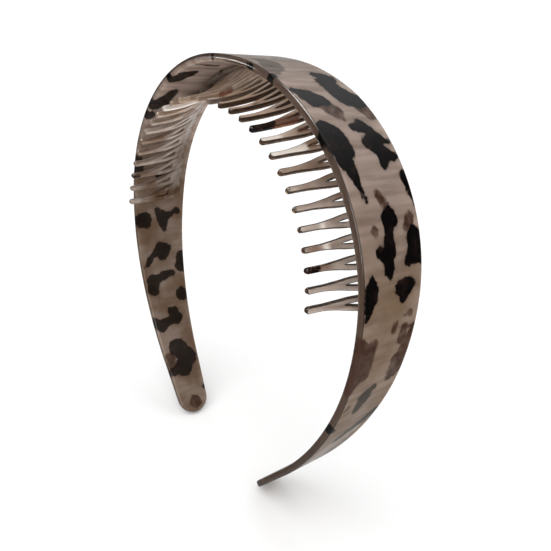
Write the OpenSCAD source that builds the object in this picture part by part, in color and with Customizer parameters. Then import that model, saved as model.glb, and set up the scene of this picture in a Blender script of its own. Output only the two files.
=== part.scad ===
// Comb headband: an arched plastic band with a toothed comb bonded inside it.
// Frame: X across the head, -Y towards the forehead, Z up. The origin is on the level
// of the two tips, under the crown, halfway between the front-most and rear-most points.

/* [Arch] */
// Thickness of the band's sheet
sheet_t = 2.4; // [1.8:0.1:3]
// Radius of the short, nearly flat arc at the crown
crown_r = 120; // [90:5:150]
// Turn of the crown arc, from the middle to one side
crown_turn = 2.5; // [2:0.5:4]
// Radius of the long arc over the shoulder
shoulder_r = 62; // [58:0.5:66]
// Turn of the shoulder arc
shoulder_turn = 82; // [78:0.5:84]
// Radius of the arc at the side of the head
side_r = 90; // [80:1:100]
// Turn of the side arc
side_turn = 25; // [20:1:30]
// Radius of the arc behind the ear
lower_r = 115; // [100:1:130]
// Turn of the lower arc
lower_turn = 19.5; // [15:0.5:22]
// Length of the straight tip of each leg
tip_len = 25; // [20:1:30]

/* [Edges] */
// Front edge, ahead of the band's centre line, at the crown
front_top = 12.8; // [11:0.2:14]
// Front edge, ahead of the centre line, at the tips
front_tip = 7.8; // [7:0.2:9]
// Rear edge, behind the centre line, where the band is widest
rear_max = 13; // [12:0.2:14]
// Height of the widest place above the tips
rear_max_z = 114.5; // [106:0.5:120]
// Radius of the rear edge, seen from the side
rear_r = 800; // [700:10:900]
// Rear edge, behind the centre line, at the top of the crown
rear_top = 10.8; // [10:0.2:12]
// Drop over which the rear edge reaches its full depth
rear_trim_z = 6.5; // [5:0.5:8]
// Radius of the rounded tips
tip_r = 6.9; // [6.5:0.1:7]

/* [Comb] */
// Teeth on each side of the middle tooth
teeth_a_side = 14; // [10:1:14]
// Distance from tooth to tooth along the band
pitch = 6.8; // [6.6:0.05:6.9]
// Thickness of the teeth
tooth_t = 1.6; // [1.2:0.1:1.8]
// Radius of the sweep that a tooth makes, seen from its side
tooth_r = 50; // [45:1:60]
// Reach of the tooth tips ahead of the band's centre line
tooth_reach = 18.8; // [17:0.2:20]
// Distance of the tooth tips from the band's inner face
tooth_lift = 11.1; // [10:0.1:12]
// Rise that is left in a tooth at its tip, in degrees
tooth_rise = 4; // [2:0.5:6]
// Half the width of a tooth at its tip
tooth_tip_w = 0.9; // [0.7:0.05:1.1]
// Half the width of a tooth at its heel
tooth_heel_w = 3.6; // [3.4:0.05:3.8]
// Place of the heel's centre behind the centre line
heel_y = 6; // [5:0.2:6.4]
// Place of the window's sharp end ahead of the centre line
window_y = 6.7; // [5:0.1:8]
// Length of the window from its sharp end to its round one
window_len = 8; // [6:0.2:8.6]
// Radius of the window's round end
window_r = 0.85; // [0.7:0.05:1]
// Thickness of the strip that joins the teeth
strip_t = 0.8; // [0.6:0.1:1.2]
// Front edge of the strip, behind the centre line
strip_front = 4; // [3:0.2:5]
// Rear edge of the strip, behind the centre line
strip_rear = 9; // [8:0.2:9.6]

/* [Hidden] */
$fn = 180;

radii = [crown_r, shoulder_r, side_r, lower_r];
turns = [crown_turn, shoulder_turn, side_turn, lower_turn];
arcs = len(radii);

// Length of arc i along the middle of the sheet
function arc_len(i) = radii[i] * turns[i] * PI / 180;
// Length, heading below the horizontal and place where arc i starts, from the crown
function start_len(i) = i == 0 ? 0 : start_len(i - 1) + arc_len(i - 1);
function heading(i) = i == 0 ? 0 : heading(i - 1) + turns[i - 1];
function chord(r, a, b) = [r * (sin(b) - sin(a)), r * (cos(b) - cos(a))];
function start_at(i) = i == 0 ? [0, 0] : start_at(i - 1) + chord(radii[i - 1], heading(i - 1), heading(i));
// The arc that holds the length s, and the heading and place at s
function arc_of(s, i = 0) = i == arcs - 1 || s < start_len(i + 1) ? i : arc_of(s, i + 1);
function heading_at(s, i) = heading(i) + (s - start_len(i)) / radii[i] * 180 / PI;
function place_at(s, i) = start_at(i) + chord(radii[i], heading(i), heading_at(s, i));

tip_heading = heading(arcs);
tip_end = start_at(arcs) + tip_len * [cos(tip_heading), -sin(tip_heading)];
// Height of the sheet's middle at the crown, with the tips' lowest points at zero
crown_z = -(tip_end[1] + cos(tip_heading) * sheet_t / 2);
// Shift that puts the front-most and rear-most points at equal distances
centre_y = (tooth_reach - rear_max) / 2;

half_room = 70;       // more than half the width of the whole part
deep = 60;            // more than the depth of the whole part
big_circle_fn = 1440; // keeps the long rear edge smooth
facet = 2.5;          // degrees of the arch in one flat facet
rear_x = rear_max - rear_r;
rear_trim_y = rear_x + sqrt(pow(rear_r, 2) - pow(crown_z - rear_trim_z - rear_max_z, 2));

// Centre of a tooth's sweep: behind its tip and outside the band
sweep_y = -tooth_reach - tooth_r * sin(tooth_rise);
sweep_z = -sheet_t / 2 - tooth_lift + tooth_r * cos(tooth_rise);
comb_half = teeth_a_side * pitch + pitch / 2;

// Points along one half of a line that follows the arch at a height above the sheet's
// middle, from the crown down to the length reach; the last arc runs on into the tip
function raised(at, a, height) = at + height * [sin(a), cos(a)];
function arc_points(i, height, reach) = let (
    run = min(arc_len(i), reach - start_len(i)), steps = max(1, ceil(run / radii[i] * 180 / PI / facet)))
    [for (k = [0 : steps - 1]) let (s = start_len(i) + run * k / steps)
        raised(place_at(s, i), heading_at(s, i), height)];
function end_point(height, reach) = reach > start_len(arcs)
    ? raised(tip_end, tip_heading, height)
    : let (i = arc_of(reach)) raised(place_at(reach, i), heading_at(reach, i), height);
function half_line(height, reach) = [
    for (i = [0 : arcs - 1]) if (start_len(i) < reach) each arc_points(i, height, reach),
    if (reach > start_len(arcs)) raised(start_at(arcs), tip_heading, height),
    end_point(height, reach)
];
function reversed(v) = [for (i = [len(v) - 1 : -1 : 0]) v[i]];
function mirrored(v) = [for (i = [len(v) - 1 : -1 : 1]) [-v[i][0], v[i][1]]];

// A layer of the arch as a solid from y = front to y = rear; depth is measured in from
// the band's outer face
module layer(depth, thick, reach, front, rear) {
    outer = half_line(sheet_t / 2 - depth, reach);
    inner = half_line(sheet_t / 2 - depth - thick, reach);
    translate([0, rear, crown_z]) rotate([90, 0, 0]) linear_extrude(rear - front)
        polygon(concat(mirrored(outer), outer, reversed(inner), reversed(mirrored(inner))));
}

// The band's outline seen from the side: y across, height up
module side_outline() {
    top = crown_z + sheet_t;
    top_y = rear_top - (rear_trim_y - rear_top) / rear_trim_z * sheet_t;
    intersection() {
        translate([rear_x, rear_max_z]) circle(r = rear_r, $fn = big_circle_fn);
        polygon([
            [-front_tip, 0], [-front_top, crown_z], [-front_top, top], [top_y, top],
            [rear_trim_y, crown_z - rear_trim_z], [rear_max, crown_z - 2 * rear_trim_z], [rear_max, 0]
        ]);
    }
}

// What is cut from one leg's end to leave it round
module tip_corners() {
    centre_z = crown_z + tip_end[1] + tip_r * sin(tip_heading);
    rear_y = rear_x + sqrt(pow(rear_r, 2) - pow(centre_z - rear_max_z, 2));
    front_y = -front_tip - (front_top - front_tip) * centre_z / crown_z;
    translate([tip_end[0], (rear_y + front_y) / 2, crown_z + tip_end[1]])
        rotate([0, tip_heading, 0]) translate([-tip_r, 0, 0])
            difference() {
                translate([0, -2 * tip_r, -2 * sheet_t]) cube([2 * tip_r, 4 * tip_r, 4 * sheet_t]);
                cylinder(r = tip_r, h = 5 * sheet_t, center = true);
            }
}

module band() {
    color("rosybrown") translate([0, centre_y, 0]) difference() {
        intersection() {
            layer(0, sheet_t, start_len(arcs) + tip_len, -deep / 2, deep / 2);
            rotate([90, 0, 90]) linear_extrude(2 * half_room, center = true) side_outline();
        }
        tip_corners();
        mirror([1, 0, 0]) tip_corners();
    }
}

// A tooth laid flat: it points to -y, and widens along a curve from its tip to its heel
module tooth_outline() {
    steps = 10;
    swell = 1.6;
    length = tooth_reach + heel_y;
    tip_y = tooth_tip_w - tooth_reach;
    function half_w(f) = tooth_tip_w + (tooth_heel_w - tooth_tip_w) * pow(f, swell);
    side = [for (i = [0 : steps]) [half_w(i / steps), tip_y + i / steps * (heel_y - tip_y)]];
    apex_angle = asin(window_r / (window_len - window_r));
    difference() {
        union() {
            polygon([for (p = side) p, for (i = [steps : -1 : 0]) [-side[i][0], side[i][1]]]);
            translate([0, tip_y]) circle(r = tooth_tip_w, $fn = 48);
            translate([0, heel_y]) circle(r = tooth_heel_w, $fn = 72);
        }
        translate([0, window_len - window_r - window_y]) {
            circle(r = window_r, $fn = 48);
            polygon([
                [0, window_r - window_len],
                window_r * [cos(apex_angle), -sin(apex_angle)],
                window_r * [-cos(apex_angle), -sin(apex_angle)]
            ]);
        }
    }
}

// A tooth in place under the middle of the crown, with z = 0 at the middle of the sheet
module tooth() {
    drop = tooth_lift + tooth_t;
    intersection() {
        translate([0, sweep_y, sweep_z]) rotate([0, 90, 0]) difference() {
            cylinder(r = tooth_r + tooth_t / 2, h = 2 * pitch, center = true);
            cylinder(r = tooth_r - tooth_t / 2, h = 3 * pitch, center = true);
        }
        translate([0, 0, -sheet_t / 2 - drop]) linear_extrude(drop) tooth_outline();
    }
}

module comb() {
    color("dimgray") translate([0, centre_y, 0]) {
        layer(sheet_t, strip_t, comb_half, strip_front, strip_rear);
        for (i = [-teeth_a_side : teeth_a_side])
            let (s = abs(i) * pitch, arc = arc_of(s), at = place_at(s, arc), side = sign(i))
                translate([side * at[0], 0, crown_z + at[1]])
                    rotate([0, side * heading_at(s, arc), 0]) tooth();
    }
}

band();
comb();
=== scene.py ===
# %% [markdown]
# # A comb headband, step by step
# The headband is two pieces of mottled acetate sheet: a wide band bent into an arch, and
# a comb of forked teeth bonded inside it. Both are cut flat, polished at their edges and
# then bent with heat. This lesson follows the same order: draw a flat blank, give it its
# thickness and soft edges, and bend it with Geometry Nodes. The first cell loads the CAD
# model, which is the fixed frame that every piece here has to fit.

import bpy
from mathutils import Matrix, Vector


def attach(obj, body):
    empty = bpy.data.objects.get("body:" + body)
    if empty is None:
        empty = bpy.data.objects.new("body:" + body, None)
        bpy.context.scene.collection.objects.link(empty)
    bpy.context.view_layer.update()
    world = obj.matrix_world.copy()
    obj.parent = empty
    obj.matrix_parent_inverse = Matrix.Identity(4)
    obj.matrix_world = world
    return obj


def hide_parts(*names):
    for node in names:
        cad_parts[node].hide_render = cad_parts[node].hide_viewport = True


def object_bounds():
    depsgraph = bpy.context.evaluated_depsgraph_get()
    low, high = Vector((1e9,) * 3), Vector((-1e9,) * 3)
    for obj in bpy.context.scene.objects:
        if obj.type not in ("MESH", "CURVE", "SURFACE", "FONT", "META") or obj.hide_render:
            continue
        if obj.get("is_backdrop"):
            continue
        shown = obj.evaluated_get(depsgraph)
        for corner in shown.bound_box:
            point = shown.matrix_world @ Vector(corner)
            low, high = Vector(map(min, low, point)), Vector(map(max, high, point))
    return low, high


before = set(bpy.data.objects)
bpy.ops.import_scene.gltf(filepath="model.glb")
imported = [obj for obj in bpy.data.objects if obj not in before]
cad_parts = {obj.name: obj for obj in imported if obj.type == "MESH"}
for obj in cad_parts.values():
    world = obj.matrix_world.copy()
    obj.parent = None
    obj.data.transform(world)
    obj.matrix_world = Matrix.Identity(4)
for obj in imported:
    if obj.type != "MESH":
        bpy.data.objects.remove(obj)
cad_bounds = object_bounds()
print("CAD box:", [[round(v, 4) for v in corner] for corner in cad_bounds])

# %% Modules and units
import math

import bmesh
import bpy
import numpy as np
from mathutils import Matrix, Vector

MM = 0.001
scene = bpy.context.scene


def clamp01(v):
    return np.clip(v, 0.0, 1.0)


def smoothstep(low, high, v):
    t = clamp01((np.asarray(v, float) - low) / (high - low))
    return t * t * (3.0 - 2.0 * t)


print("1 mm is", MM, "of a scene unit")

# %% [markdown]
# ## The camera
# A wide lens, close to the object and above its right front, gives the strong size
# difference between the near leg and the far one. It comes first, so that every later
# render can be judged from the same place.

# %% Place the camera
CAMERA_AT = Vector((149.7, -113.0, 160.6)) * MM
CAMERA_TURN = 48.84   # degrees round the object, from its front to its right side
CAMERA_DROP = 23.78   # degrees that it looks down
CAMERA_ROLL = 5.77    # degrees of tilt to the left
LENS = 37.65          # millimetres, on a sensor 36 mm wide


def add_object(name, data):
    """An object with this data, linked to the scene."""
    made = bpy.data.objects.new(name, data)
    scene.collection.objects.link(made)
    return made


turn, drop, roll = (math.radians(v) for v in (CAMERA_TURN, CAMERA_DROP, CAMERA_ROLL))
back = Vector((
    math.sin(turn) * math.cos(drop), -math.cos(turn) * math.cos(drop), math.sin(drop)))
level = Vector((math.cos(turn), math.sin(turn), 0.0))
upright = back.cross(level)
right = level * math.cos(roll) + upright * math.sin(roll)
up = upright * math.cos(roll) - level * math.sin(roll)
camera_data = bpy.data.cameras.new("camera")
camera_data.lens = LENS
camera_data.sensor_width = 36.0
camera_data.clip_start = 0.01
camera = add_object("camera", camera_data)
camera.matrix_world = Matrix((right, up, back)).transposed().to_4x4()
camera.location = CAMERA_AT
scene.camera = camera
print("camera is", round(CAMERA_AT.length, 3), "m from the origin")

# %% [markdown]
# ## The arch
# Seen from the front, the sheet follows a chain of arcs that meet smoothly, with a
# straight tip on each leg. Every piece is bent along this one line, so it is worked out
# once, by adding up the arcs, and then made into a curve for Geometry Nodes to sample.

# %% The line of the arch
SHEET = 2.4 * MM
ARC_RADII = np.array([120.0, 62.0, 90.0, 115.0]) * MM
ARC_TURNS = np.radians([2.5, 82.0, 25.0, 19.5])
TIP = 25.0 * MM
BAND_BACK = 2.9 * MM   # the teeth reach forwards, so the band lies behind the middle

arc_lengths = ARC_RADII * ARC_TURNS
starts = np.concatenate([[0.0], np.cumsum(arc_lengths)])
headings = np.concatenate([[0.0], np.cumsum(ARC_TURNS)])
HALF = starts[-1] + TIP


def arch_side(s):
    """Place (x, drop below the crown) and heading below the horizontal at the length s."""
    s = np.asarray(s, float)
    x, z, heading = np.zeros_like(s), np.zeros_like(s), np.zeros_like(s)
    for i, radius in enumerate(ARC_RADII):
        run = np.clip(s - starts[i], 0.0, arc_lengths[i])
        a, b = headings[i], headings[i] + run / radius
        x += radius * (np.sin(b) - np.sin(a))
        z += radius * (np.cos(b) - np.cos(a))
        heading += b - a
    rest = np.clip(s - starts[-1], 0.0, None)
    x, z = x + rest * math.cos(headings[-1]), z - rest * math.sin(headings[-1])
    return x, z, heading


CROWN_Z = float(-arch_side(HALF)[1] - math.cos(headings[-1]) * SHEET / 2)
CENTRE_Y = (cad_bounds[0][1] + cad_bounds[1][1]) / 2 + BAND_BACK
print("arch:", round(2 * HALF / MM), "mm long; crown", round(CROWN_Z / MM, 1), "mm up")
print("CAD crown is", round((cad_bounds[1][2] - SHEET / 2) / MM, 1), "mm up")

# %% [markdown]
# The bend itself is a small Geometry Nodes tree. A blank lies flat, with its length along
# X, its width along Y and its thickness along Z. The tree looks up the arch at the
# distance X, and lifts Z along the sheet's outward side. It also keeps the flat place in
# an attribute, so that the pattern can be laid out on the flat sheet, as the real one is
# cast, and bends with it.

# %% The arch as a curve


def path_object(name, points):
    """A poly curve through the points, for the trees to sample."""
    data = bpy.data.curves.new(name, "CURVE")
    data.dimensions = "3D"
    spline = data.splines.new("POLY")
    spline.points.add(len(points) - 1)
    for place, point in zip(spline.points, points):
        place.co = (*point, 1.0)
    made = add_object(name, data)
    made.hide_render = True
    return made


ARCH_POINTS = 1581
steps = np.linspace(-HALF, HALF, ARCH_POINTS)
xs, drops, _ = arch_side(np.abs(steps))
arch_path = path_object("arch_path", [
    (math.copysign(x, s), CENTRE_Y, CROWN_Z + z) for s, x, z in zip(steps, xs, drops)])
print("arch path has", len(steps), "points")

# %% A tree that bends a flat blank along a path


def new_tree(name, inputs):
    """An empty Geometry Nodes tree with one geometry in and out, and the named inputs."""
    tree = bpy.data.node_groups.new(name, "GeometryNodeTree")
    tree.interface.new_socket("Geometry", in_out="INPUT", socket_type="NodeSocketGeometry")
    tree.interface.new_socket("Geometry", in_out="OUTPUT", socket_type="NodeSocketGeometry")
    for label, kind in inputs:
        tree.interface.new_socket(label, in_out="INPUT", socket_type=kind)
    return tree, tree.nodes.new("NodeGroupInput"), tree.nodes.new("NodeGroupOutput")


def link_or_set(tree, socket, value):
    """Feeds a socket from another node's socket, or sets it to a plain value."""
    if isinstance(value, bpy.types.NodeSocket):
        tree.links.new(value, socket)
    elif value is not None:
        socket.default_value = value


def add_node(tree, kind, inputs, **settings):
    """A node with these settings, and with each input linked or set."""
    node = tree.nodes.new(kind)
    for name, value in settings.items():
        setattr(node, name, value)
    for label, value in inputs.items():
        link_or_set(tree, node.inputs[label], value)
    return node


def node_math(tree, operation, a, b=None):
    return add_node(tree, "ShaderNodeMath", {0: a, 1: b}, operation=operation).outputs[0]


def vector_math(tree, operation, a, b=None):
    return add_node(tree, "ShaderNodeVectorMath", {0: a, 1: b}, operation=operation).outputs[0]


def separate(tree, vector):
    """The X, Y and Z of a vector, as a node's outputs."""
    return add_node(tree, "ShaderNodeSeparateXYZ", {0: vector}).outputs


def combine(tree, axis, value):
    """A vector with one axis linked and the others zero."""
    return add_node(tree, "ShaderNodeCombineXYZ", {axis: value}).outputs[0]


def follow_path(tree, geometry, path, length, outward, split, kept):
    """Moves each point to a length along a path, and off the path by the point's own Z.

    outward turns the path's tangent into the side that Z points to, and kept is the axis
    that runs across the path and stays as it is.
    """
    info = add_node(tree, "GeometryNodeObjectInfo", {"Object": path}, transform_space="RELATIVE")
    sample = add_node(tree, "GeometryNodeSampleCurve", {
        "Curves": info.outputs["Geometry"], "Length": length}, mode="LENGTH")
    lift = add_node(tree, "ShaderNodeVectorMath", {
        0: outward(sample.outputs["Tangent"]), "Scale": split["Z"]}, operation="SCALE")
    bent = vector_math(tree, "ADD", sample.outputs["Position"], lift.outputs[0])
    bent = vector_math(tree, "ADD", bent, combine(tree, kept, split[kept]))
    return add_node(tree, "GeometryNodeSetPosition", {
        "Geometry": geometry, "Position": bent}).outputs[0]


def realize_and_paint(tree, enter, leave, geometry):
    """Ends a tree: makes any copies real, sets the material and hands the mesh out."""
    realize = add_node(tree, "GeometryNodeRealizeInstances", {0: geometry})
    paint = add_node(tree, "GeometryNodeSetMaterial", {
        "Geometry": realize.outputs[0], "Material": enter.outputs["Material"]})
    tree.links.new(paint.outputs[0], leave.inputs[0])
    return tree


def bend_tree():
    tree, enter, leave = new_tree("bend_along_arch", [
        ("Arch", "NodeSocketObject"), ("Half Length", "NodeSocketFloat"),
        ("Material", "NodeSocketMaterial")])
    flat = tree.nodes.new("GeometryNodeInputPosition").outputs[0]
    keep = add_node(tree, "GeometryNodeStoreNamedAttribute", {
        "Geometry": enter.outputs["Geometry"], "Name": "flat", "Value": flat},
        data_type="FLOAT_VECTOR", domain="POINT")
    split = separate(tree, flat)
    length = node_math(tree, "ADD", split["X"], enter.outputs["Half Length"])

    def outward(tangent):
        side = vector_math(tree, "CROSS_PRODUCT", tangent, (0, 1, 0))
        return vector_math(tree, "NORMALIZE", side)

    bent = follow_path(
        tree, keep.outputs[0], enter.outputs["Arch"], length, outward, split, "Y")
    return realize_and_paint(tree, enter, leave, bent)


def run_tree(obj, tree, values):
    """Runs a tree on an object, keeps the result as a plain mesh and drops the modifier."""
    modifier = obj.modifiers.new(tree.name, "NODES")
    modifier.node_group = tree
    for item in tree.interface.items_tree:
        if item.in_out == "INPUT" and item.name in values:
            modifier[item.identifier] = values[item.name]
    depsgraph = bpy.context.evaluated_depsgraph_get()
    made = bpy.data.meshes.new_from_object(obj.evaluated_get(depsgraph))
    obj.modifiers.clear()
    obj.data = made
    return obj


BEND = bend_tree()
print("bend tree has", len(BEND.nodes), "nodes")

# %% [markdown]
# ## The band's blank
# The band is cut from a flat sheet as one long leaf with round ends. Its front edge is
# straight, and its rear edge is one long curve, except for a short flat at the crown. The
# cut edge is a flat rim with a small round on each side, which catches a thin line of
# light. The mesh is a set of nested loops round the leaf, so the rounding has the same
# width everywhere, even round the ends.

# %% The outline of the leaf
FRONT_CROWN, FRONT_TIP = 12.8 * MM, 7.8 * MM
REAR_MOST, REAR_MOST_Z, REAR_RADIUS = 13.0 * MM, 114.5 * MM, 800 * MM
REAR_CROWN, REAR_TRIM = 10.8 * MM, 6.5 * MM
END_BACK = 6.75 * MM    # from each tip back to the centre of its round end


def band_edges(s):
    """Front and rear edge of the band at the length s from the crown."""
    z = CROWN_Z + arch_side(np.abs(s))[1]
    front = -(FRONT_TIP + (FRONT_CROWN - FRONT_TIP) * z / CROWN_Z)
    rear = REAR_MOST - REAR_RADIUS + np.sqrt(REAR_RADIUS**2 - (z - REAR_MOST_Z) ** 2)
    trim_z = CROWN_Z - REAR_TRIM
    trim = REAR_MOST - REAR_RADIUS
    trim += math.sqrt(REAR_RADIUS**2 - (trim_z - REAR_MOST_Z) ** 2)
    line = trim + (REAR_CROWN - trim) * (z - trim_z) / REAR_TRIM
    return front, np.minimum(rear, np.where(z > trim_z, line, rear))


front, rear = band_edges(np.array([0.0, 60 * MM, HALF - 7 * MM]))
print("band width at crown, shoulder, tip:", np.round((rear - front) / MM, 1), "mm")

# %% Build the leaf as nested loops
EDGE_DEPTH = 0.8 * MM   # how far in from the outline the softening reaches
EDGE_POWER = 2.6        # 2 would be half an ellipse, and more is a flatter rim
EDGE_ANGLES = (14, 34, 54, 72, 90)   # degrees round the edge, from its rim to the face
FACE_BORDER = 0.4 * MM  # a narrow flat band that keeps the shading of the edge crisp
FACE_LINES = 9          # lines from there to the middle of the leaf
ROW = 0.9 * MM
END_STEP = 15           # degrees between the points of a round end


def edge_profile(half_thick, depth, power, angles):
    """Insets and heights of a softened cut edge, from its rim to the flat face."""
    a = np.radians(angles)
    insets = depth * (1 - np.cos(a) ** (2 / power))
    heights = half_thick * np.sin(a) ** (2 / power)
    return [float(v) for v in insets], [float(v) for v in heights]


def mesh_object(name, bm):
    """An object made from a finished mesh, shaded smooth."""
    for face in bm.faces:
        face.smooth = True
    mesh = bpy.data.meshes.new(name)
    bm.to_mesh(mesh)
    print(name, "has", len(bm.faces), "faces; open edges:", sum(e.is_boundary for e in bm.edges))
    bm.free()
    return add_object(name, mesh)


def leaf_mesh(name):
    end_s = HALF - END_BACK
    rows = np.linspace(-end_s, end_s, int(2 * end_s / ROW) + 1)
    front, rear = band_edges(rows)
    middle, half = (front + rear) / 2, (rear - front) / 2
    insets, rises = edge_profile(SHEET / 2, EDGE_DEPTH, EDGE_POWER, EDGE_ANGLES)
    insets.append(EDGE_DEPTH + FACE_BORDER)
    rises.append(SHEET / 2)
    inner = np.linspace(1, 0, FACE_LINES + 1)[1:]
    bm = bmesh.new()

    def offsets(h):
        return [h - i for i in insets] + [(h - insets[-1]) * t for t in inner]

    heights = rises + [SHEET / 2] * len(inner)
    loops = len(heights)
    for side in (1, -1):
        lines = {}
        for sign in (1, -1):
            for j in range(loops - (sign < 0)):
                lines[sign * (loops - j)] = [
                    bm.verts.new((s, m + sign * offsets(h)[j], side * heights[j]))
                    for s, m, h in zip(rows, middle, half)
                ]
        # lines are keyed from the middle (1) to the outline (loops) on the rear side,
        # and from -2 to -loops on the front side; the middle line is shared
        order = [lines[k] for k in (*range(-loops, -1), *range(1, loops + 1))]
        for a, b in zip(order[:-1], order[1:]):
            for i in range(len(rows) - 1):
                quad = (a[i], a[i + 1], b[i + 1], b[i])
                bm.faces.new(quad if side > 0 else quad[::-1])
        for end, turn_sign in ((0, -1), (len(rows) - 1, 1)):
            width = offsets(half[end])
            centre = lines[1][end]
            rings = []
            for j in range(loops - 1):
                key = loops - j
                ring = [lines[key][end]]
                for phi in np.radians(np.arange(END_STEP, 180, END_STEP)):
                    ring.append(bm.verts.new((
                        rows[end] + turn_sign * width[j] * math.sin(phi),
                        middle[end] + width[j] * math.cos(phi), side * heights[j])))
                ring.append(lines[-key][end])
                rings.append(ring)
            for a, b in zip(rings[:-1], rings[1:]):
                for i in range(len(a) - 1):
                    quad = (a[i], b[i], b[i + 1], a[i + 1])
                    bm.faces.new(quad if side * turn_sign < 0 else quad[::-1])
            last = rings[-1]
            for i in range(len(last) - 1):
                tri = (last[i], centre, last[i + 1])
                bm.faces.new(tri if side * turn_sign < 0 else tri[::-1])
    bmesh.ops.bridge_loops(bm, edges=[e for e in bm.edges if e.is_boundary])
    bmesh.ops.recalc_face_normals(bm, faces=bm.faces)
    return mesh_object(name, bm)


band = leaf_mesh("band_sheet")

# %% [markdown]
# ## The comb's blank
# The comb is cut from thinner sheet: 29 teeth in one row, each with a long window at its
# root, and a scalloped rear edge. One tooth is drawn as a grid that follows its outline:
# rows run from its middle or its window out to its side. Geometry Nodes then repeat it
# along a line and merge the seams, so the whole comb is one closed shape. On the real
# comb the teeth are usually sawn or punched, and tumbling rounds every edge, so each
# outline point is set in and the edge is turned over in small steps.

# %% Sizes of a tooth
PITCH = 6.8 * MM
TEETH = 29
COMB_SHEET = 1.6 * MM
SWEEP = 50.0 * MM       # radius that a tooth curves to, seen from its side
TIP_SLOPE = math.radians(4)   # how steeply it ends
TIP_DROP = 11.1 * MM    # how far its end hangs under the band
TIP_R = 0.9 * MM
TIP_Y = -17.9 * MM      # centre of the round tip
TOOTH_END = -18.8 * MM
HEEL_R, HEEL_Y = 3.6 * MM, 6.0 * MM   # the scallop at the rear
WINDOW_TIP, WINDOW_R = -6.7 * MM, 0.85 * MM
WINDOW_WIDE, WINDOW_RING = 0.35 * MM, 0.45 * MM   # end of its straight sides, ring's centre
SHOULDER_R = ARC_RADII[1]
SINK = 0.02 * MM        # bonded faces reach this far into the band, so that no gap shows

sweep_y = TOOTH_END - SWEEP * math.sin(TIP_SLOPE)
sweep_z = -SHEET / 2 - TIP_DROP + SWEEP * math.cos(TIP_SLOPE)
foot_from = 7.4 * MM
foot_slope = math.asin((foot_from - sweep_y) / SWEEP)
foot_rise = -SHEET / 2 - COMB_SHEET / 2 + SINK
foot_r = (foot_rise - (sweep_z - SWEEP * math.cos(foot_slope))) / (1 - math.cos(foot_slope))


def tooth_line(y):
    """Length along a tooth from its tip, and its height against the sheet, at a depth y."""
    y = np.asarray(y, float)
    slope = np.arcsin(np.clip((y - sweep_y) / SWEEP, -1, math.sin(foot_slope)))
    length = SWEEP * (slope - TIP_SLOPE)
    height = sweep_z - SWEEP * np.cos(slope)
    past = np.clip(y - foot_from, 0, None)
    turn_left = np.arcsin(np.clip(math.sin(foot_slope) - past / foot_r, 0, 1))
    fillet = foot_r * (foot_slope - turn_left)
    flat_run = np.clip(past - foot_r * math.sin(foot_slope), 0, None)
    rise = foot_r * (np.cos(turn_left) - math.cos(foot_slope))
    beyond = y > foot_from
    length += np.where(beyond, fillet + flat_run, 0)
    return length, height + np.where(beyond, rise, 0)


def tooth_half(y):
    """Half the width of a tooth at a depth y."""
    # slim at the tip, fuller beside the window, and widest where it meets its neighbour
    flare = 0.75 * smoothstep(-14, -5, y / MM) + 1.45 * clamp01((y / MM + 8) / 12.4) ** 1.1
    return (0.9 + flare) * MM


rises = tooth_line(np.array([TOOTH_END, 0, HEEL_Y + HEEL_R]))[1]
print("a tooth's end, middle and heel lie at", np.round(rises / MM, 2), "mm")

# %% One half of a tooth as a grid
TOOTH_ROUND = 0.4 * MM
FACE_INSET = 2.5   # points inside a face count as this many roundings from the edge


def narrowing(y):
    """How much the bend along the arch narrows the comb at a depth y."""
    return 1 + tooth_line(y)[1] / SHOULDER_R


def tooth_rows():
    """Rows of a half tooth: inner and outer point, and each one's normal or None."""
    rows = []
    joint = PITCH / 2
    for deg in (65, 90):
        a = math.radians(deg)
        normal = (math.sin(a), -math.cos(a))
        rows.append(((0, TIP_Y - TIP_R * 0.75 + 0.4 * MM * (deg > 70)), None,
                     (TIP_R * normal[0], TIP_Y + TIP_R * normal[1]), normal))
    for y in np.array([-16.2, -14.5, -13, -11.5, -10.2, -9, -8]) * MM:
        rows.append(((0, y), None, (tooth_half(y), y), None))
    window_y = np.array([-6.7, -5.9, -4.8, -3.4, -2, -0.8]) * MM
    spread = WINDOW_R / (WINDOW_WIDE - WINDOW_TIP)
    for y in window_y:
        half = (y - WINDOW_TIP) * spread
        facing = (0, 1) if y == window_y[0] else (-1, spread)
        rows.append(((half, y), facing, (tooth_half(y), y), None))
    for deg, oy in ((0, 0.5), (35, 1.7), (65, 2.7), (90, 3.4)):
        c, s = math.cos(math.radians(deg)), math.sin(math.radians(deg))
        rows.append(((WINDOW_R * c, WINDOW_RING + WINDOW_R * s), (-c, -s),
                     (tooth_half(oy * MM), oy * MM), None))
    rows.append(((0, 2.4 * MM), None, (tooth_half(4.0 * MM), 4.0 * MM), None))
    rows.append(((0, 3.6 * MM), None, (joint, 4.6 * MM), (0, -1)))
    for iy, oy in ((4.8, 5.2), (6.2, 5.9), (7.8, 6.5)):
        rows.append(((0, iy * MM), None, (joint, oy * MM), "joint"))
    return rows


MERGE_WITHIN = 1e-6   # metres


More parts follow.
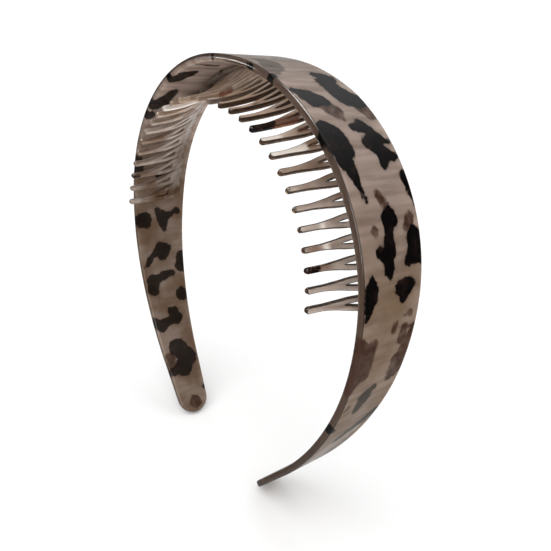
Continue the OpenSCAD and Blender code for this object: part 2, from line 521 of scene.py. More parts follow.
def tooth_mesh(name):
    rows = tooth_rows()
    columns = np.array([0.0, 0.3, 0.62, 1.0])
    outer = np.array([r[2] for r in rows])
    # the sides of the tooth are widened, because the bend along the arch narrows them
    tangents = np.gradient(outer, axis=0)

    def widen(point, at_joint=False):
        x, y = point
        x = x if at_joint else min(x / narrowing(y), PITCH / 2)
        return np.array((x, y))

    def unit(v):
        return np.array(v) / np.linalg.norm(v)

    # the tip's own row lies on the round end
    tip_normals = [np.array((math.sin(a), -math.cos(a))) for a in np.radians([0, 14, 28, 42])]
    slim = narrowing(TIP_Y)
    grid = [[np.array((TIP_R * n[0] / slim, TIP_Y + TIP_R * n[1])) for n in tip_normals]]
    normals = [tip_normals]
    for (inner, inner_n, side, side_n), tangent in zip(rows, tangents):
        joint_row = isinstance(side_n, str) or side[0] >= PITCH / 2
        a, b = widen(inner), widen(side, joint_row)
        if side_n is None:
            side_n = (tangent[1], -tangent[0])
        side_n = None if isinstance(side_n, str) else unit(side_n)
        inner_n = None if inner_n is None else unit(inner_n)
        grid.append([a + (b - a) * c for c in columns])
        normals.append([inner_n, None, None, side_n])
    heel = np.linspace(0, math.asin(PITCH / 2 / HEEL_R), 4)
    heel_normals = [np.array((math.sin(a), math.cos(a))) for a in heel]
    grid.append([np.array((HEEL_R * n[0], HEEL_Y + HEEL_R * n[1])) for n in heel_normals])
    normals.append(heel_normals[:-1] + [np.array((0.0, 1.0))])
    # set the outline in by the rounding, then respace the inside of each row
    top = []
    for g, n in zip(grid, normals):
        row = [p - TOOTH_ROUND * m if m is not None else p.copy() for p, m in zip(g, n)]
        if n[1] is None:
            row = [row[0] + (row[-1] - row[0]) * c for c in columns]
        top.append(row)
    bm = bmesh.new()
    edge = bm.verts.layers.float.new("edge")

    def place(p, z, inset):
        made = bm.verts.new((p[0], float(tooth_line(p[1])[0]) + TIP_Y - TIP_R, z))
        made[edge] = inset / MM
        return made

    half_t = COMB_SHEET / 2
    sheets = {}
    for side in (1, -1):
        sheets[side] = verts = [
            [place(p, side * half_t, TOOTH_ROUND * (1 if m is not None else FACE_INSET))
             for p, m in zip(row, n)] for row, n in zip(top, normals)]
        for r in range(len(verts) - 1):
            for c in range(3):
                quad = (verts[r][c], verts[r][c + 1], verts[r + 1][c + 1], verts[r + 1][c])
                bm.faces.new(quad if side > 0 else quad[::-1])
    # the outline's chains: tip and side, window, scallop
    last = len(grid) - 1
    notch = next(i for i, n in enumerate(normals) if n[3] is None)
    window = [i for i, n in enumerate(normals) if n[0] is not None and 0 < i < last]
    chains = [
        [(0, c) for c in range(4)] + [(r, 3) for r in range(1, notch)],
        [(r, 0) for r in reversed(window)],
        [(last, c) for c in (3, 2, 1, 0)],
    ]
    for chain in chains:
        strips = []
        for r, c in chain:
            p, n = grid[r][c], normals[r][c]
            strip = [sheets[1][r][c]]
            for side in (1, -1):
                for a in np.radians((30, 60, 90)[::side]):
                    inset = TOOTH_ROUND * (1 - math.sin(a))
                    height = half_t - TOOTH_ROUND * (1 - math.cos(a))
                    strip.append(place(p - n * inset, side * height, inset))
            strip.append(sheets[-1][r][c])
            strips.append(strip)
        for a, b in zip(strips[:-1], strips[1:]):
            for i in range(len(a) - 1):
                bm.faces.new((a[i], a[i + 1], b[i + 1], b[i]))
    mirror = bmesh.ops.duplicate(bm, geom=bm.verts[:] + bm.edges[:] + bm.faces[:])["geom"]
    for v in mirror:
        if isinstance(v, bmesh.types.BMVert):
            v.co.x = -v.co.x
    bmesh.ops.reverse_faces(bm, faces=[g for g in mirror if isinstance(g, bmesh.types.BMFace)])
    bmesh.ops.remove_doubles(bm, verts=bm.verts, dist=MERGE_WITHIN)
    return mesh_object(name, bm)


comb = tooth_mesh("comb_teeth")

# %% [markdown]
# Two more trees finish the comb. The first repeats the tooth along a line, makes the
# copies real and merges them where they meet. The second lifts the flat comb along the
# profile of a tooth, so that every tooth sweeps away from the band and then forwards.

# %% Repeat the tooth


def repeat_tree():
    tree, enter, leave = new_tree("repeat_teeth", [
        ("Count", "NodeSocketInt"), ("Pitch", "NodeSocketFloat"), ("Merge", "NodeSocketFloat"),
        ("Material", "NodeSocketMaterial")])
    gaps = node_math(tree, "SUBTRACT", enter.outputs["Count"], 1.0)
    reach = node_math(tree, "MULTIPLY", gaps, enter.outputs["Pitch"])
    line = add_node(tree, "GeometryNodeMeshLine", {
        "Count": enter.outputs["Count"],
        "Start Location": combine(tree, "X", node_math(tree, "MULTIPLY", reach, -0.5)),
        "Offset": combine(tree, "X", enter.outputs["Pitch"])}, mode="OFFSET")
    spread = add_node(tree, "GeometryNodeInstanceOnPoints", {
        "Points": line.outputs[0], "Instance": enter.outputs["Geometry"]})
    realize = add_node(tree, "GeometryNodeRealizeInstances", {0: spread.outputs[0]})
    merge = add_node(tree, "GeometryNodeMergeByDistance", {
        "Geometry": realize.outputs[0], "Distance": enter.outputs["Merge"]})
    return realize_and_paint(tree, enter, leave, merge.outputs[0])


run_tree(comb, repeat_tree(), {"Count": TEETH, "Pitch": PITCH, "Merge": 0.01 * MM})
bm = bmesh.new()
bm.from_mesh(comb.data)
# the two ends of the row are still open where a neighbour would be
bmesh.ops.holes_fill(bm, edges=[e for e in bm.edges if e.is_boundary], sides=0)
print("comb has", len(bm.faces), "faces; open edges:", sum(e.is_boundary for e in bm.edges))
bm.to_mesh(comb.data)
bm.free()

# %% Lift the teeth along their profile


def lift_tree():
    tree, enter, leave = new_tree("lift_teeth", [
        ("Profile", "NodeSocketObject"), ("Tip", "NodeSocketFloat"),
        ("Material", "NodeSocketMaterial")])
    split = separate(tree, tree.nodes.new("GeometryNodeInputPosition").outputs[0])
    length = node_math(tree, "SUBTRACT", split["Y"], enter.outputs["Tip"])

    def outward(tangent):
        return vector_math(tree, "CROSS_PRODUCT", (1, 0, 0), tangent)

    lifted = follow_path(tree, enter.outputs["Geometry"], enter.outputs["Profile"], length,
                         outward, split, "X")
    return realize_and_paint(tree, enter, leave, lifted)


PROFILE_END, PROFILE_POINTS = 10.5 * MM, 300
profile_y = np.linspace(TOOTH_END, PROFILE_END, PROFILE_POINTS)
profile_z = tooth_line(profile_y)[1]
profile_path = path_object("tooth_profile", [(0, y, z) for y, z in zip(profile_y, profile_z)])
run_tree(comb, lift_tree(), {"Profile": profile_path, "Tip": TOOTH_END})
print("lifted comb is", [round(v / MM, 1) for v in comb.dimensions], "mm")

# %% [markdown]
# The teeth stand on a thin flat strip, which is what is bonded to the band. It is a
# plain ribbon with softened edges, and it joins the comb's mesh before both are bent.

# %% Add the strip and bend both pieces
STRIP_T, STRIP_FRONT, STRIP_REAR = 0.8 * MM, 4.0 * MM, 9.0 * MM
STRIP_ROUND = 0.2 * MM
STRIP_LAND = 0.6 * MM   # width of the first and last facet of its bonded face
STRIP_ROWS = 220


def add_strip(mesh):
    bm = bmesh.new()
    bm.from_mesh(mesh)
    reach = TEETH * PITCH / 2
    top = -SHEET / 2 + SINK
    low = top - STRIP_T
    section = [(STRIP_FRONT + STRIP_LAND, top), (STRIP_REAR - STRIP_LAND, top)]
    for cy, cz, sy, sz in ((STRIP_REAR, top, 1, 1), (STRIP_REAR, low, 1, -1),
                           (STRIP_FRONT, low, -1, -1), (STRIP_FRONT, top, -1, 1)):
        for a in np.radians((90, 45, 0)[::sy * sz]):
            section.append((cy - sy * STRIP_ROUND * (1 - math.cos(a)),
                            cz - sz * STRIP_ROUND * (1 - math.sin(a))))
    rows = np.linspace(-reach, reach, STRIP_ROWS)
    loops = [[bm.verts.new((s, y, z)) for y, z in section] for s in rows]
    new_faces = []
    for a, b in zip(loops[:-1], loops[1:]):
        for i in range(len(section)):
            k = (i + 1) % len(section)
            new_faces.append(bm.faces.new((a[i], b[i], b[k], a[k])))
    new_faces += [bm.faces.new(loops[0]), bm.faces.new(loops[-1][::-1])]
    for face in new_faces[:-2]:
        face.smooth = True
    bmesh.ops.recalc_face_normals(bm, faces=new_faces)
    bm.to_mesh(mesh)
    bm.free()
    return len(new_faces)


print("strip faces:", add_strip(comb.data))
for piece in (band, comb):
    run_tree(piece, BEND, {"Arch": arch_path, "Half Length": HALF})
    low, high = Vector(piece.bound_box[0]), Vector(piece.bound_box[6])
    print(piece.name, [round(v / MM, 1) for v in low], [round(v / MM, 1) for v in high])

# %% [markdown]
# ## Where the blotches lie
# This kind of sheet is made by pressing chips of dark and brown acetate into a pale,
# milky base, so every blotch goes right through the sheet and shows on both faces. Each
# blotch is laid out as a few strokes on the flat sheet: a chain of rounds, each
# with a place along the arch, a place across it and a radius, all in millimetres. The
# distance to the nearest stroke is stored at each point of the mesh, and the material
# turns it into a crisp or a soft edge. A distance blends smoothly between the points of
# a mesh, so the edges stay clean without a very dense grid.

# %% Blotches of the band, and a painted glare
BAND_DARK = [
    # right half, from the crown down
    [(-7.5, -13.3, 0.7)], [(11, -13.2, 0.7), (13, -13, 0.9)], [(21.5, -12.5, 1.6)],
    [(15, -7.5, 0.5)],
    [(21, 4, 2), (23, 7, 3), (26, 4.5, 3.5), (30, 5, 4), (33, 7, 4.3), (34, 10, 3.2)],
    [(29.5, -11, 1.4), (31.5, -8.5, 2.5), (33, -6, 3.2), (34.5, -3.5, 2)],
    [(33, -9.5, 1.8), (35.5, -8, 1.4)],
    [(43, -10, 2), (46, -8.5, 4), (50, -8, 4.2), (54, -8.5, 2.8), (58, -7.5, 1.6), (65, -6, 0.7)],
    [(44, 0.5, 1.4), (43.8, 4, 2.2), (46, 6.5, 1.8)],
    [(46.5, 6, 1.6), (49.5, 5, 2.8), (52.5, 7, 2.6)],
    [(49, 1.8, 1.3), (50, 4, 2.2)], [(48, 8.5, 1.8), (49, 10.3, 1.2)],
    [(52.5, 8, 2), (53.5, 10.8, 1.4)],
    [(53.5, 6, 1.8), (56, 5.3, 1.3)],
    [(60, 11.7, 2), (63, 12, 1.8)], [(65, 12.8, 1.6), (68, 13.2, 0.8)],
    [(68.3, 1.5, 1.8), (70.5, 0.7, 2.5), (74.5, -0.3, 1.8), (79, -1, 2.5), (84, -1, 2)],
    [(71, 2.8, 1.5)],
    [(78.3, -4.2, 1.6), (79.5, -2, 2.4)],
    [(76, 10, 3), (78.5, 11, 3.2), (80.5, 9.6, 3), (82.5, 12.7, 1.8)],
    [(80.5, 8, 1.6), (82.5, 6.6, 1.6)],
    [(84.8, -8, 1.5), (87.5, -8.1, 2.3), (90, -8.1, 2.1), (93, -8.8, 1.3), (95.5, -9.4, 0.8)],
    [(89, 3, 2), (89, 6, 2.8), (92, 5, 1.8)], [(89, 6, 2), (89, 9.3, 1.1)],
    [(135.8, -9.8, 1.8), (136.5, -8, 0.7)],
    [(158, 4, 2.4), (163, 2, 2.8)], [(180, -1, 3), (183, 1, 2)],
    # left half
    [(-20.5, -10, 0.7), (-21, -2, 0.7)], [(-27.5, 4, 1.2), (-29, 8.5, 2.3)],
    [(-30, -6, 2), (-32, -8, 3), (-36, -10, 2.8)],
    [(-46, -6.5, 1.9), (-51, -8, 3), (-54, -10.5, 2.6)], [(-59.5, -11, 2.4)],
    [(-81.5, -11.5, 2), (-86, -10.5, 2.6)], [(-74, 12.5, 1)], [(-93.5, 12.7, 0.9)],
    [(-67, 4, 2.4), (-70, 7, 2.8)], [(-86, 3, 2.6), (-89, 0, 2.2)],
    [(-109, -7, 3.8)],
    [(-105, -1, 1.4), (-109, 2, 2.8), (-114.5, 2.3, 1.1)],
    [(-109, 2, 2), (-108, 6, 1.1), (-106.5, 9, 1.5)],
    [(-116.5, -11.5, 1.6)],
    [(-121, 0, 1.6), (-123.5, 1, 3.5), (-126, 1, 2.4)],
    [(-124, -2.5, 1.5), (-127, -5.5, 1.4), (-130, -8, 1)],
    [(-128.5, 10.2, 3.3), (-132, 9.8, 3.6)],
    [(-137, -5.5, 3), (-140.5, -6, 2.8)], [(-137, -4, 2.2), (-135, 0.5, 1.9), (-134.5, 4, 1.2)],
    [(-145, 7, 3.2)],
    [(-152, 1, 2.6), (-155, 2, 2.9)],
    [(-155, 1, 2.3), (-156, -3, 1.9), (-157, -6, 2.8), (-154, -8.5, 1.2)],
    [(-168, -1.5, 4), (-173, 1.5, 4.4), (-177.5, -1.5, 3.6)],
    [(-177.5, -3, 2.6), (-178, -6.5, 2)],
    [(-188, 5.5, 0.8)],
]
BAND_BROWN = [
    [(36, 9, 3.4), (39, 11, 2.8)], [(36, -4, 3), (38.5, -2, 2.2), (40.8, -1, 1)],
    [(64, -1, 1.6), (67, 1, 1.6)], [(73, -5, 1.4)], [(71, 9, 2), (73, 8, 2)],
    [(102, -10.5, 1.8), (106, -8, 3.3)], [(103.5, -5, 1.8), (106, -6.5, 3)],
    [(109, -9.5, 3), (113, -9.5, 3.4), (118, -10.5, 2.2)], [(108, -6, 2.5), (114, -5.5, 1.8)],
    [(102, 11.5, 1.5), (106, 11, 2)], [(102, 7.5, 1.8), (105, 7, 2)],
    [(109, 9.5, 2.6), (112, 8, 3), (116, 8, 3), (118.5, 6.5, 1.4)],
    [(100, 3.2, 1.2), (101.3, 2.9, 1.3)], [(97.6, 6.4, 0.6)], [(97.6, 8.8, 1)],
    [(-172, -6, 2.4), (-176, -7, 2.2)], [(-193, -1, 2.9)],
]
BAND_OLIVE = [
    [(120.6, 0.8, 1.5), (123, -2.6, 2)], [(124, 0, 1.4), (126, -2.5, 2), (129.2, -3.2, 1.3)],
    [(125, -7.5, 0.6), (126.5, -8.5, 0.4)],
    [(134.5, 8.5, 1.8), (138, 6, 1.9), (142, 1.5, 1.7), (146, -2, 1.2)],
    [(8, -8, 1.5), (11, -6, 3.2), (15, -7.5, 3.4), (18.5, -10, 2.6)],
]
BAND_CLEAR = [[(28.5, 10.8, 2), (26.8, 7.8, 0.4)], [(47, 11, 1), (45.5, 9.5, 0.6)]]
# the first pale stroke is a clear notch in a dark blotch, part of the sheet; the second is painted
# glare, the pale sheen of the lower right leg seen at a grazing angle
BAND_PALE_AND_GLARE = [[(28.5, 10.5, 1.9), (26.5, 7.5, 0.5)], [(143, 4, 3), (152, -2, 4), (160, -3, 3)]]
print(len(BAND_DARK), "dark,", len(BAND_BROWN), "brown and", len(BAND_OLIVE), "olive blotches")

# %% Blotches of the comb, and painted highlights on its teeth
COMB_DARK = [
    [(81.6, -19, 1.3), (81.6, -15.5, 1.2)], [(27.2, -19, 1.4), (27.2, -12, 1.6)],
    [(-81.6, -18.5, 1), (-81.6, -16, 1)], [(-31, 1, 1.4), (-34, -2, 1.2)],
]
COMB_BROWN = [
    [(27.2, -11, 1.6), (28, -5, 1.6)], [(34, -6, 0.8), (35.5, 0, 0.8)],
    [(40.8, -5, 0.8), (42, 0, 0.8)],
    [(-1, -14, 1.8), (-5, -9, 2), (-9, -6, 1.4)],
]
COMB_OLIVE = [[(-29, 3, 1.6), (-36, -3, 1.4)], [(14, -10, 1)], [(54, -19, 1)], [(61, -19, 0.9)]]
# painted highlights: these pale strokes are glints of light on single teeth, painted into the
# colour
COMB_PAINTED_HIGHLIGHTS = [
    [(73.6, -11.8, 1), (76, -11.8, 1)], [(67, -11.8, 0.8), (69, -11.8, 0.8)],
    [(40.8, -18.5, 1.8), (40.8, -9, 2)], [(34, -18.5, 1), (34, -13, 1)],
    [(-34, -19, 1.8), (-34, -6, 2)],
]
print("the comb has", len(COMB_DARK), "dark and", len(COMB_BROWN), "brown blotches")

# %% Store the distances on the meshes


FAR = 20.0   # millimetres, further than any outline wanders


def stroke_distance(points, strokes, blend=1.0):
    """Distance in mm from points to the nearest stroke, below zero inside one."""
    total = np.full(len(points), FAR)
    for stroke in strokes:
        rounds = np.array(stroke, float)
        if len(rounds) == 1:
            rounds = np.vstack([rounds, rounds + (0.01, 0, 0)])
        for a, b in zip(rounds[:-1], rounds[1:]):
            run = b[:2] - a[:2]
            t = clamp01(((points - a[:2]) @ run) / (run @ run))
            away = np.linalg.norm(points - a[:2] - t[:, None] * run, axis=1)
            d = away - (a[2] + (b[2] - a[2]) * t)
            h = np.clip(0.5 + 0.5 * (total - d) / blend, 0, 1)
            total = total + (d - total) * h - blend * h * (1 - h)
    return total


def flat_places(mesh):
    """Each point's place on the flat sheet, along the arch and across it."""
    flat = np.zeros(len(mesh.vertices) * 3, np.float32)
    mesh.attributes["flat"].data.foreach_get("vector", flat)
    return flat.reshape(-1, 3)[:, :2].astype(float)


def store(mesh, name, values):
    layer = mesh.attributes.new(name, "FLOAT", "POINT")
    layer.data.foreach_set("value", values.astype(np.float32))


def store_blotches(piece, dark, brown, olive, pale, clear=()):
    """Stores one distance for each colour. The clear strokes cut gaps into the dark."""
    places = flat_places(piece.data) / MM
    kinds = {"dark": dark, "brown": brown, "olive": olive, "pale": pale}
    for name, strokes in kinds.items():
        values = stroke_distance(places, strokes)
        if name == "dark":
            values = np.maximum(values, -stroke_distance(places, clear))
        store(piece.data, name, values)
        share = round(100 * float((values < 0).mean()), 1)
        print(piece.name, name, "covers", share, "% of the points")


def store_edge(piece):
    """Distance in mm from the band's outline, for the finish of its cut edge."""
    s, y = flat_places(piece.data).T
    front, rear = band_edges(s)
    past_end = np.abs(s) - (HALF - END_BACK)
    inset = np.minimum(y - front, rear - y)
    round_end = (rear - front) / 2 - np.hypot(past_end, y - (front + rear) / 2)
    store(piece.data, "edge", np.where(past_end > 0, round_end, inset) / MM)


store_edge(band)
store_blotches(band, BAND_DARK, BAND_BROWN, BAND_OLIVE, BAND_PALE_AND_GLARE, BAND_CLEAR)
store_blotches(comb, COMB_DARK, COMB_BROWN, COMB_OLIVE, COMB_PAINTED_HIGHLIGHTS)

# %% [markdown]
# ## The acetate
# The base is milky and faintly streaked, because the sheet is rolled. Blotches are nearly
# black where a chip is thick, and red-brown where it thins out. Two shader groups are
# shared by both pieces. The first mixes the colours from the stored distances, with noise
# that makes each outline wander. The second gives the fine haze and scratches of a
# polished surface that has been handled.

# %% Group: mottled colour


def new_group(name, inputs, outputs):
    group = bpy.data.node_groups.new(name, "ShaderNodeTree")
    for label, kind, value in inputs:
        socket = group.interface.new_socket(label, in_out="INPUT", socket_type=kind)
        if value is not None:
            socket.default_value = value
    for label, kind in outputs:
        group.interface.new_socket(label, in_out="OUTPUT", socket_type=kind)
    return group, group.nodes.new("NodeGroupInput"), group.nodes.new("NodeGroupOutput")


def noise(tree, vector, scale, detail=2.0, rough=0.5):
    return add_node(tree, "ShaderNodeTexNoise", {
        "Vector": vector, "Scale": scale, "Detail": detail, "Roughness": rough}).outputs["Fac"]


def ramp(tree, value, low, high, out_low=0.0, out_high=1.0):
    """A smooth step of value from low to high."""
    return add_node(tree, "ShaderNodeMapRange", {
        "Value": value, "From Min": low, "From Max": high, "To Min": out_low,
        "To Max": out_high}, interpolation_type="SMOOTHSTEP").outputs["Result"]


def blend(tree, factor, a, b):
    """Mixes two colours by a factor."""
    node = add_node(tree, "ShaderNodeMix", {}, data_type="RGBA")
    for label, v in (("Factor_Float", factor), ("A_Color", a), ("B_Color", b)):
        link_or_set(tree, next(s for s in node.inputs if s.identifier == label), v)
    return next(s for s in node.outputs if s.identifier == "Result_Color")


def stretch(tree, vector, *sizes):
    return vector_math(tree, "MULTIPLY", vector, sizes)


def times(tree, a, b):
    return node_math(tree, "MULTIPLY", a, b)


DISTANCES = ("Dark", "Brown", "Olive", "Pale", "Edge")
COLOURS = ("Base", "Leg Base", "Deep Base", "Light Base", "Dark Colour", "Brown Colour",
           "Olive Colour", "Edge Colour", "Corner Colour")
# how far, in millimetres, a blotch takes to fade out at its outline
SOFT = {"Dark": 0.28, "Brown": 0.5, "Olive": 0.5, "Pale": 0.8}
HALO = 1.6


def mottle_group():
    colour, number, vector = "NodeSocketColor", "NodeSocketFloat", "NodeSocketVector"
    inputs = [("Flat", vector, None)]
    inputs += [(label, number, 9.0) for label in DISTANCES]
    inputs += [(label, colour, None) for label in COLOURS]
    inputs += [("Edge Width", number, 0.5), ("Wander", number, 1.6), ("Ribs", number, 0.0),
               ("Leg From", number, 50.0), ("Leg To", number, 92.0)]
    group, enter, leave = new_group("mottled_colour", inputs, [("Color", colour)])
    src = enter.outputs
    mm = stretch(group, src["Flat"], 1000, 1000, 1000)
    # the outlines wander: a slow noise moves them, and a fine one roughens them
    through = stretch(group, mm, 1, 1, 0.3)
    coarse = node_math(group, "SUBTRACT", noise(group, through, 0.28, 2), 0.5)
    fine = node_math(group, "SUBTRACT", noise(group, through, 1.1, 2), 0.5)
    wander = node_math(
        group, "ADD", times(group, coarse, src["Wander"]), times(group, fine, 0.9))

    def mask(label, soft=None):
        soft = soft or SOFT[label]
        return ramp(group, node_math(group, "ADD", src[label], wander), soft, -soft)

    def over(base, factor, label):
        return blend(group, factor, base, src[label])

    split = separate(group, mm)
    along = split["X"]
    from_crown = node_math(group, "ABSOLUTE", along)
    # the base is paler and greyer over the crown, warmer down the legs, and darker on the left;
    # on the comb the paler crown is also painted light, for light shining through it from above
    base = over(src["Base"], ramp(group, from_crown, src["Leg From"], src["Leg To"]), "Leg Base")
    base = over(base, ramp(group, along, -50, -120, 0.0, 0.9), "Deep Base")
    # the milky base: slow clouds, and streaks across the sheet
    clouds = ramp(group, noise(group, mm, 0.07, 3), 0.35, 0.65)
    streaks = ramp(group, noise(group, stretch(group, mm, 0.5, 0.07, 0.2), 0.9, 3), 0.4, 0.7)
    base = over(base, times(group, clouds, 0.45), "Light Base")
    base = over(base, times(group, streaks, 0.4), "Deep Base")
    # painted shade: the comb's shadows behind the sheet are painted on it as faint ribs, one to a
    # tooth
    wave = node_math(group, "SINE", times(group, along, 2 * math.pi / (PITCH / MM)))
    near = ramp(group, from_crown, 99, 94)
    comb_shadows = times(group, times(group, ramp(group, wave, -0.6, 1), near), src["Ribs"])
    base = over(base, comb_shadows, "Deep Base")
    # the pale strokes: on the band, a notch of the sheet's own pale base and a painted glare; on
    # the comb, painted highlights
    base = over(base, times(group, mask("Pale"), 0.9), "Light Base")
    # painted shade: a cut edge is seen through more depth of plastic, so it is painted darker,
    # and darkest at its corner; on the left half, where the edge is seen from inside the arch,
    # it is painted paler
    inset = node_math(group, "DIVIDE", src["Edge"], src["Edge Width"])
    right_half = ramp(group, along, -12, 12)
    outside = ramp(group, split["Z"], -0.4, 0.6, 0.15, 1.0)
    outside = node_math(group, "MAXIMUM", right_half, outside)
    corner = times(group, ramp(group, inset, 1.0, 0.5, 0.0, 0.9), outside)
    base = over(base, corner, "Corner Colour")
    cut = times(group, ramp(group, inset, 0.5, 0.2, 0.0, 0.95),
                ramp(group, right_half, 0, 1, 0.35, 1.0))
    cut = times(group, cut, ramp(group, along, 115, 160, 1.0, 0.6))
    base = over(base, cut, "Edge Colour")
    # thin chips are red-brown, and so is the rim of a thick one
    thin = noise(group, mm, 0.35, 2)
    brown = times(group, mask("Brown"), ramp(group, thin, 0.2, 0.7, 0.65, 1.0))
    base = over(base, brown, "Brown Colour")
    base = over(base, times(group, mask("Dark", HALO), 0.25), "Brown Colour")
    olive = times(group, mask("Olive"), ramp(group, along, 30, 60, 0.6, 0.9))
    base = over(base, olive, "Olive Colour")
    # blotches are slightly weaker on the left leg, as if the chips lay a little under the
    # surface there, which is a guess
    dark = times(group, mask("Dark"), ramp(group, along, -70, -40, 0.9, 1.0))
    deep = over(src["Dark Colour"], ramp(group, thin, 0.5, 0.8, 0.0, 0.3), "Brown Colour")
    group.links.new(blend(group, dark, base, deep), leave.inputs["Color"])
    return group


MOTTLE = mottle_group()
print("mottle group has", len(MOTTLE.nodes), "nodes")

# %% Group: handled polish


def polish_group():
    number, vector = "NodeSocketFloat", "NodeSocketVector"
    group, enter, leave = new_group("handled_polish", [
        ("Flat", vector, None), ("Smooth", number, 0.12), ("Haze", number, 0.1)],
        [("Roughness", number), ("Height", number)])
    src = enter.outputs
    mm = stretch(group, src["Flat"], 1000, 1000, 1000)
    smudges = ramp(group, noise(group, mm, 0.12, 3, 0.6), 0.4, 0.75)
    lines = noise(group, stretch(group, mm, 0.12, 3.0, 3.0), 1.0, 2)
    scratches = ramp(group, lines, 0.62, 0.78)
    rough = node_math(group, "ADD", src["Smooth"], times(group, smudges, src["Haze"]))
    rough = node_math(group, "ADD", rough, times(group, scratches, 0.05))
    waves = noise(group, mm, 0.11, 1)
    height = node_math(group, "SUBTRACT", waves, times(group, scratches, 0.004))
    group.links.new(rough, leave.inputs["Roughness"])
    group.links.new(height, leave.inputs["Height"])
    return group


POLISH = polish_group()
print("polish group has", len(POLISH.nodes), "nodes")

# %% Material for each piece


def srgb(r, g, b):
    """A linear colour from 0-255 values as they are seen on a screen."""
    def line(v):
        v /= 255
        return v / 12.92 if v <= 0.04045 else ((v + 0.055) / 1.055) ** 2.4
    return (line(r), line(g), line(b), 1.0)


# milky, but not opaque: most of the light that enters scatters a few millimetres and leaves
ACETATE = {
    "IOR": 1.48, "Specular IOR Level": 0.4, "Transmission Weight": 0.12,
    "Coat Weight": 0.1, "Coat Roughness": 0.03,
    "Subsurface Weight": 0.95, "Subsurface Radius": (1.0, 1.0, 1.0), "Subsurface Scale": 6 * MM,
}
BUMP = {"Strength": 0.25, "Distance": 0.0004}


def new_material(name):
    material = bpy.data.materials.new(name)
    material.use_nodes = True
    return material, material.node_tree


def set_shader(tree, values):
    for label, value in values.items():
        link_or_set(tree, tree.nodes["Principled BSDF"].inputs[label], value)


def acetate(name, colours, sizes):
    material, tree = new_material(name)

    def attribute(label, output):
        return add_node(tree, "ShaderNodeAttribute", {}, attribute_name=label).outputs[output]

    flat = attribute("flat", "Vector")
    inputs = {label: attribute(label.lower(), "Fac") for label in DISTANCES}
    inputs.update((label, srgb(*value)) for label, value in zip(COLOURS, colours))
    colour = add_node(tree, "ShaderNodeGroup", {"Flat": flat, **inputs, **sizes}, node_tree=MOTTLE)
    polish = add_node(tree, "ShaderNodeGroup", {"Flat": flat}, node_tree=POLISH)
    bump = add_node(tree, "ShaderNodeBump", {"Height": polish.outputs["Height"], **BUMP})
    set_shader(tree, {
        "Base Color": colour.outputs["Color"], "Roughness": polish.outputs["Roughness"],
        "Normal": bump.outputs["Normal"], **ACETATE})
    return material


# in the order of COLOURS, as seen on a screen
# the last two colours are painted shade along the cut edges and at their corners
BAND_COLOURS = ((164, 147, 137), (131, 109, 89), (100, 79, 62), (168, 153, 142), (10, 7, 7),
                (68, 46, 36), (48, 43, 33), (84, 69, 59), (28, 21, 17))
COMB_COLOURS = ((150, 127, 107), (102, 77, 58), (84, 62, 46), (204, 194, 185), (10, 6, 6),
                (88, 54, 40), (66, 56, 42), (42, 30, 22), (42, 30, 22))
band_plastic = acetate("mottled_sheet", BAND_COLOURS, {
    "Ribs": 0.22, "Wander": 2.6, "Edge Width": 0.8, "Leg From": 55, "Leg To": 95})
comb_plastic = acetate("mottled_comb", COMB_COLOURS, {
    "Ribs": 0.0, "Wander": 0.8, "Edge Width": 0.5, "Leg From": 22, "Leg To": 60})
for piece, material in ((band, band_plastic), (comb, comb_plastic)):
    piece.data.materials.clear()
    piece.data.materials.append(material)
    print(piece.name, "is", material.name)

# %% [markdown]
# ## The stage
# A pale floor and a broad soft light leave only a trace of shadow. What the polished
# plastic reflects is not what the camera sees behind it: in a studio the room in front of
# the object is dim, so the blotches keep their black, and light comes from above. A few
# reflector cards draw the bright lines along the edges, so they are seen only by rays that
# bounce off the gloss, and the floor is hidden from those rays. The inside of the arch
# gets little of the sky, so a small soft lamp stands in it and lights its underside.

# %% Floor, sky and lights
FLOOR_SIZE = 40.0


def stage_floor():
    bm = bmesh.new()
    bmesh.ops.create_grid(bm, x_segments=8, y_segments=8, size=FLOOR_SIZE / 2)
    floor = mesh_object("floor", bm)
    floor.visible_glossy = False
    material, tree = new_material("pale_floor")
    set_shader(tree, {
        "Base Color": (0.97, 0.97, 0.97, 1.0), "Roughness": 0.9, "Specular IOR Level": 0.0})
    floor.data.materials.append(material)
    floor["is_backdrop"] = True


REFLECTORS = [  # direction from the object, cosine of the card's edge, brightness
    ((0.68, -0.62, 0.4), 0.975, 14.0), ((-0.14, -0.48, 0.86), 0.965, 34.0),
    ((0.74, -0.62, 0.1), 0.985, 14.0), ((-0.81, -0.58, -0.07), 0.999, 22.0),
    ((-0.75, 0.5, -0.35), 0.75, 0.5), ((-0.5, 0.6, 0.64), 0.8, 0.25),
]


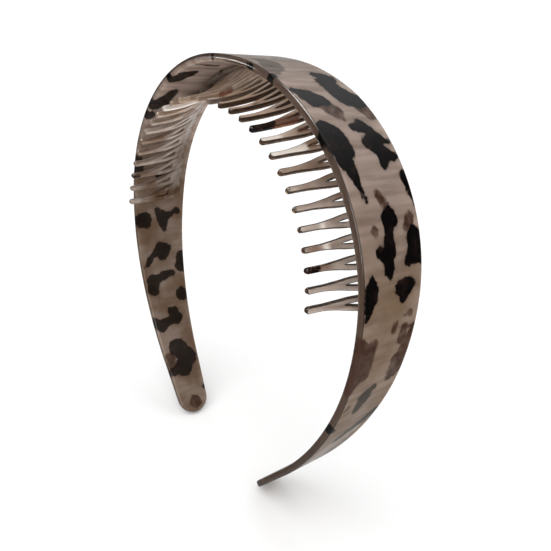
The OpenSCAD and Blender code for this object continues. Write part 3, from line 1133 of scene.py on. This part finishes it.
def studio_sky(overhead, level_room, seen):
    """A sky that gives its own brightness to the camera, to gloss and to soft light."""
    world = bpy.data.worlds.new("studio")
    world.use_nodes = True
    tree = world.node_tree
    tree.nodes.clear()
    direction = tree.nodes.new("ShaderNodeTexCoord").outputs["Generated"]
    height = separate(tree, direction)["Z"]
    path = tree.nodes.new("ShaderNodeLightPath")

    def room(strength):
        return add_node(tree, "ShaderNodeBackground", {
            "Color": (1, 1, 1, 1), "Strength": strength}).outputs[0]

    def either(factor, a, b):
        return add_node(tree, "ShaderNodeMixShader", {0: factor, 1: a, 2: b}).outputs[0]

    mirrored = node_math(tree, "ADD", ramp(tree, height, 0.45, 1.0, 0.02, 0.6),
                         ramp(tree, height, -0.4, -0.9, 0.0, 0.3))
    for towards, cosine, strength in REFLECTORS:
        dot = add_node(tree, "ShaderNodeVectorMath", {
            0: direction, 1: Vector(towards).normalized()}, operation="DOT_PRODUCT")
        card = ramp(tree, dot.outputs["Value"], cosine, 1.0, 0.0, strength)
        mirrored = node_math(tree, "ADD", mirrored, card)
    soft = ramp(tree, height, 0.0, 1.0, level_room, overhead)
    lit = either(path.outputs["Is Glossy Ray"], room(soft), room(mirrored))
    out = tree.nodes.new("ShaderNodeOutputWorld")
    seen_first = either(path.outputs["Is Camera Ray"], lit, room(seen))
    tree.links.new(seen_first, out.inputs["Surface"])
    scene.world = world


def soft_sun(name, energy, size, turn, tilt):
    data = bpy.data.lights.new(name, "SUN")
    data.energy = energy
    data.angle = math.radians(size)
    light = add_object(name, data)
    light.rotation_euler = (math.radians(tilt), 0, math.radians(turn))
    light.visible_glossy = False


def inner_lamp(name, energy, width, spread, at):
    """A round soft lamp that stands inside the arch and lights its underside."""
    data = bpy.data.lights.new(name, "AREA")
    data.shape, data.size, data.energy = "DISK", width, energy
    data.spread = math.radians(spread)
    light = add_object(name, data)
    light.location, light.rotation_euler = at, (math.pi, 0, 0)
    light.visible_glossy = light.visible_camera = False


stage_floor()
studio_sky(overhead=0.95, level_room=0.8, seen=1.0)
soft_sun("key", energy=1.0, size=60, turn=20, tilt=35)
inner_lamp("inner_lamp", energy=0.04, width=0.09, spread=110, at=(10 * MM, 0, 75 * MM))
scene.view_settings.view_transform = "Standard"
print("floor is", FLOOR_SIZE, "m wide")

# %% [markdown]
# ## Into the CAD frame
# The finished pieces stand for the CAD nodes and ride on the one body. The last cell
# writes both boxes, to compare sizes.

# %% Name and ride
for piece, node, slot in ((band, "band", "band_plastic"), (comb, "comb", "comb_plastic")):
    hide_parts(node)
    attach(piece, "root")
    piece.data.name = piece.name
for helper in (arch_path, profile_path):
    bpy.data.objects.remove(helper)

visual_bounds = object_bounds()
boxes = {"cad": cad_bounds, "visual": visual_bounds}
{name: [list(corner) for corner in box] for name, box in boxes.items()}
print("visual box:", [[round(v, 4) for v in corner] for corner in visual_bounds])
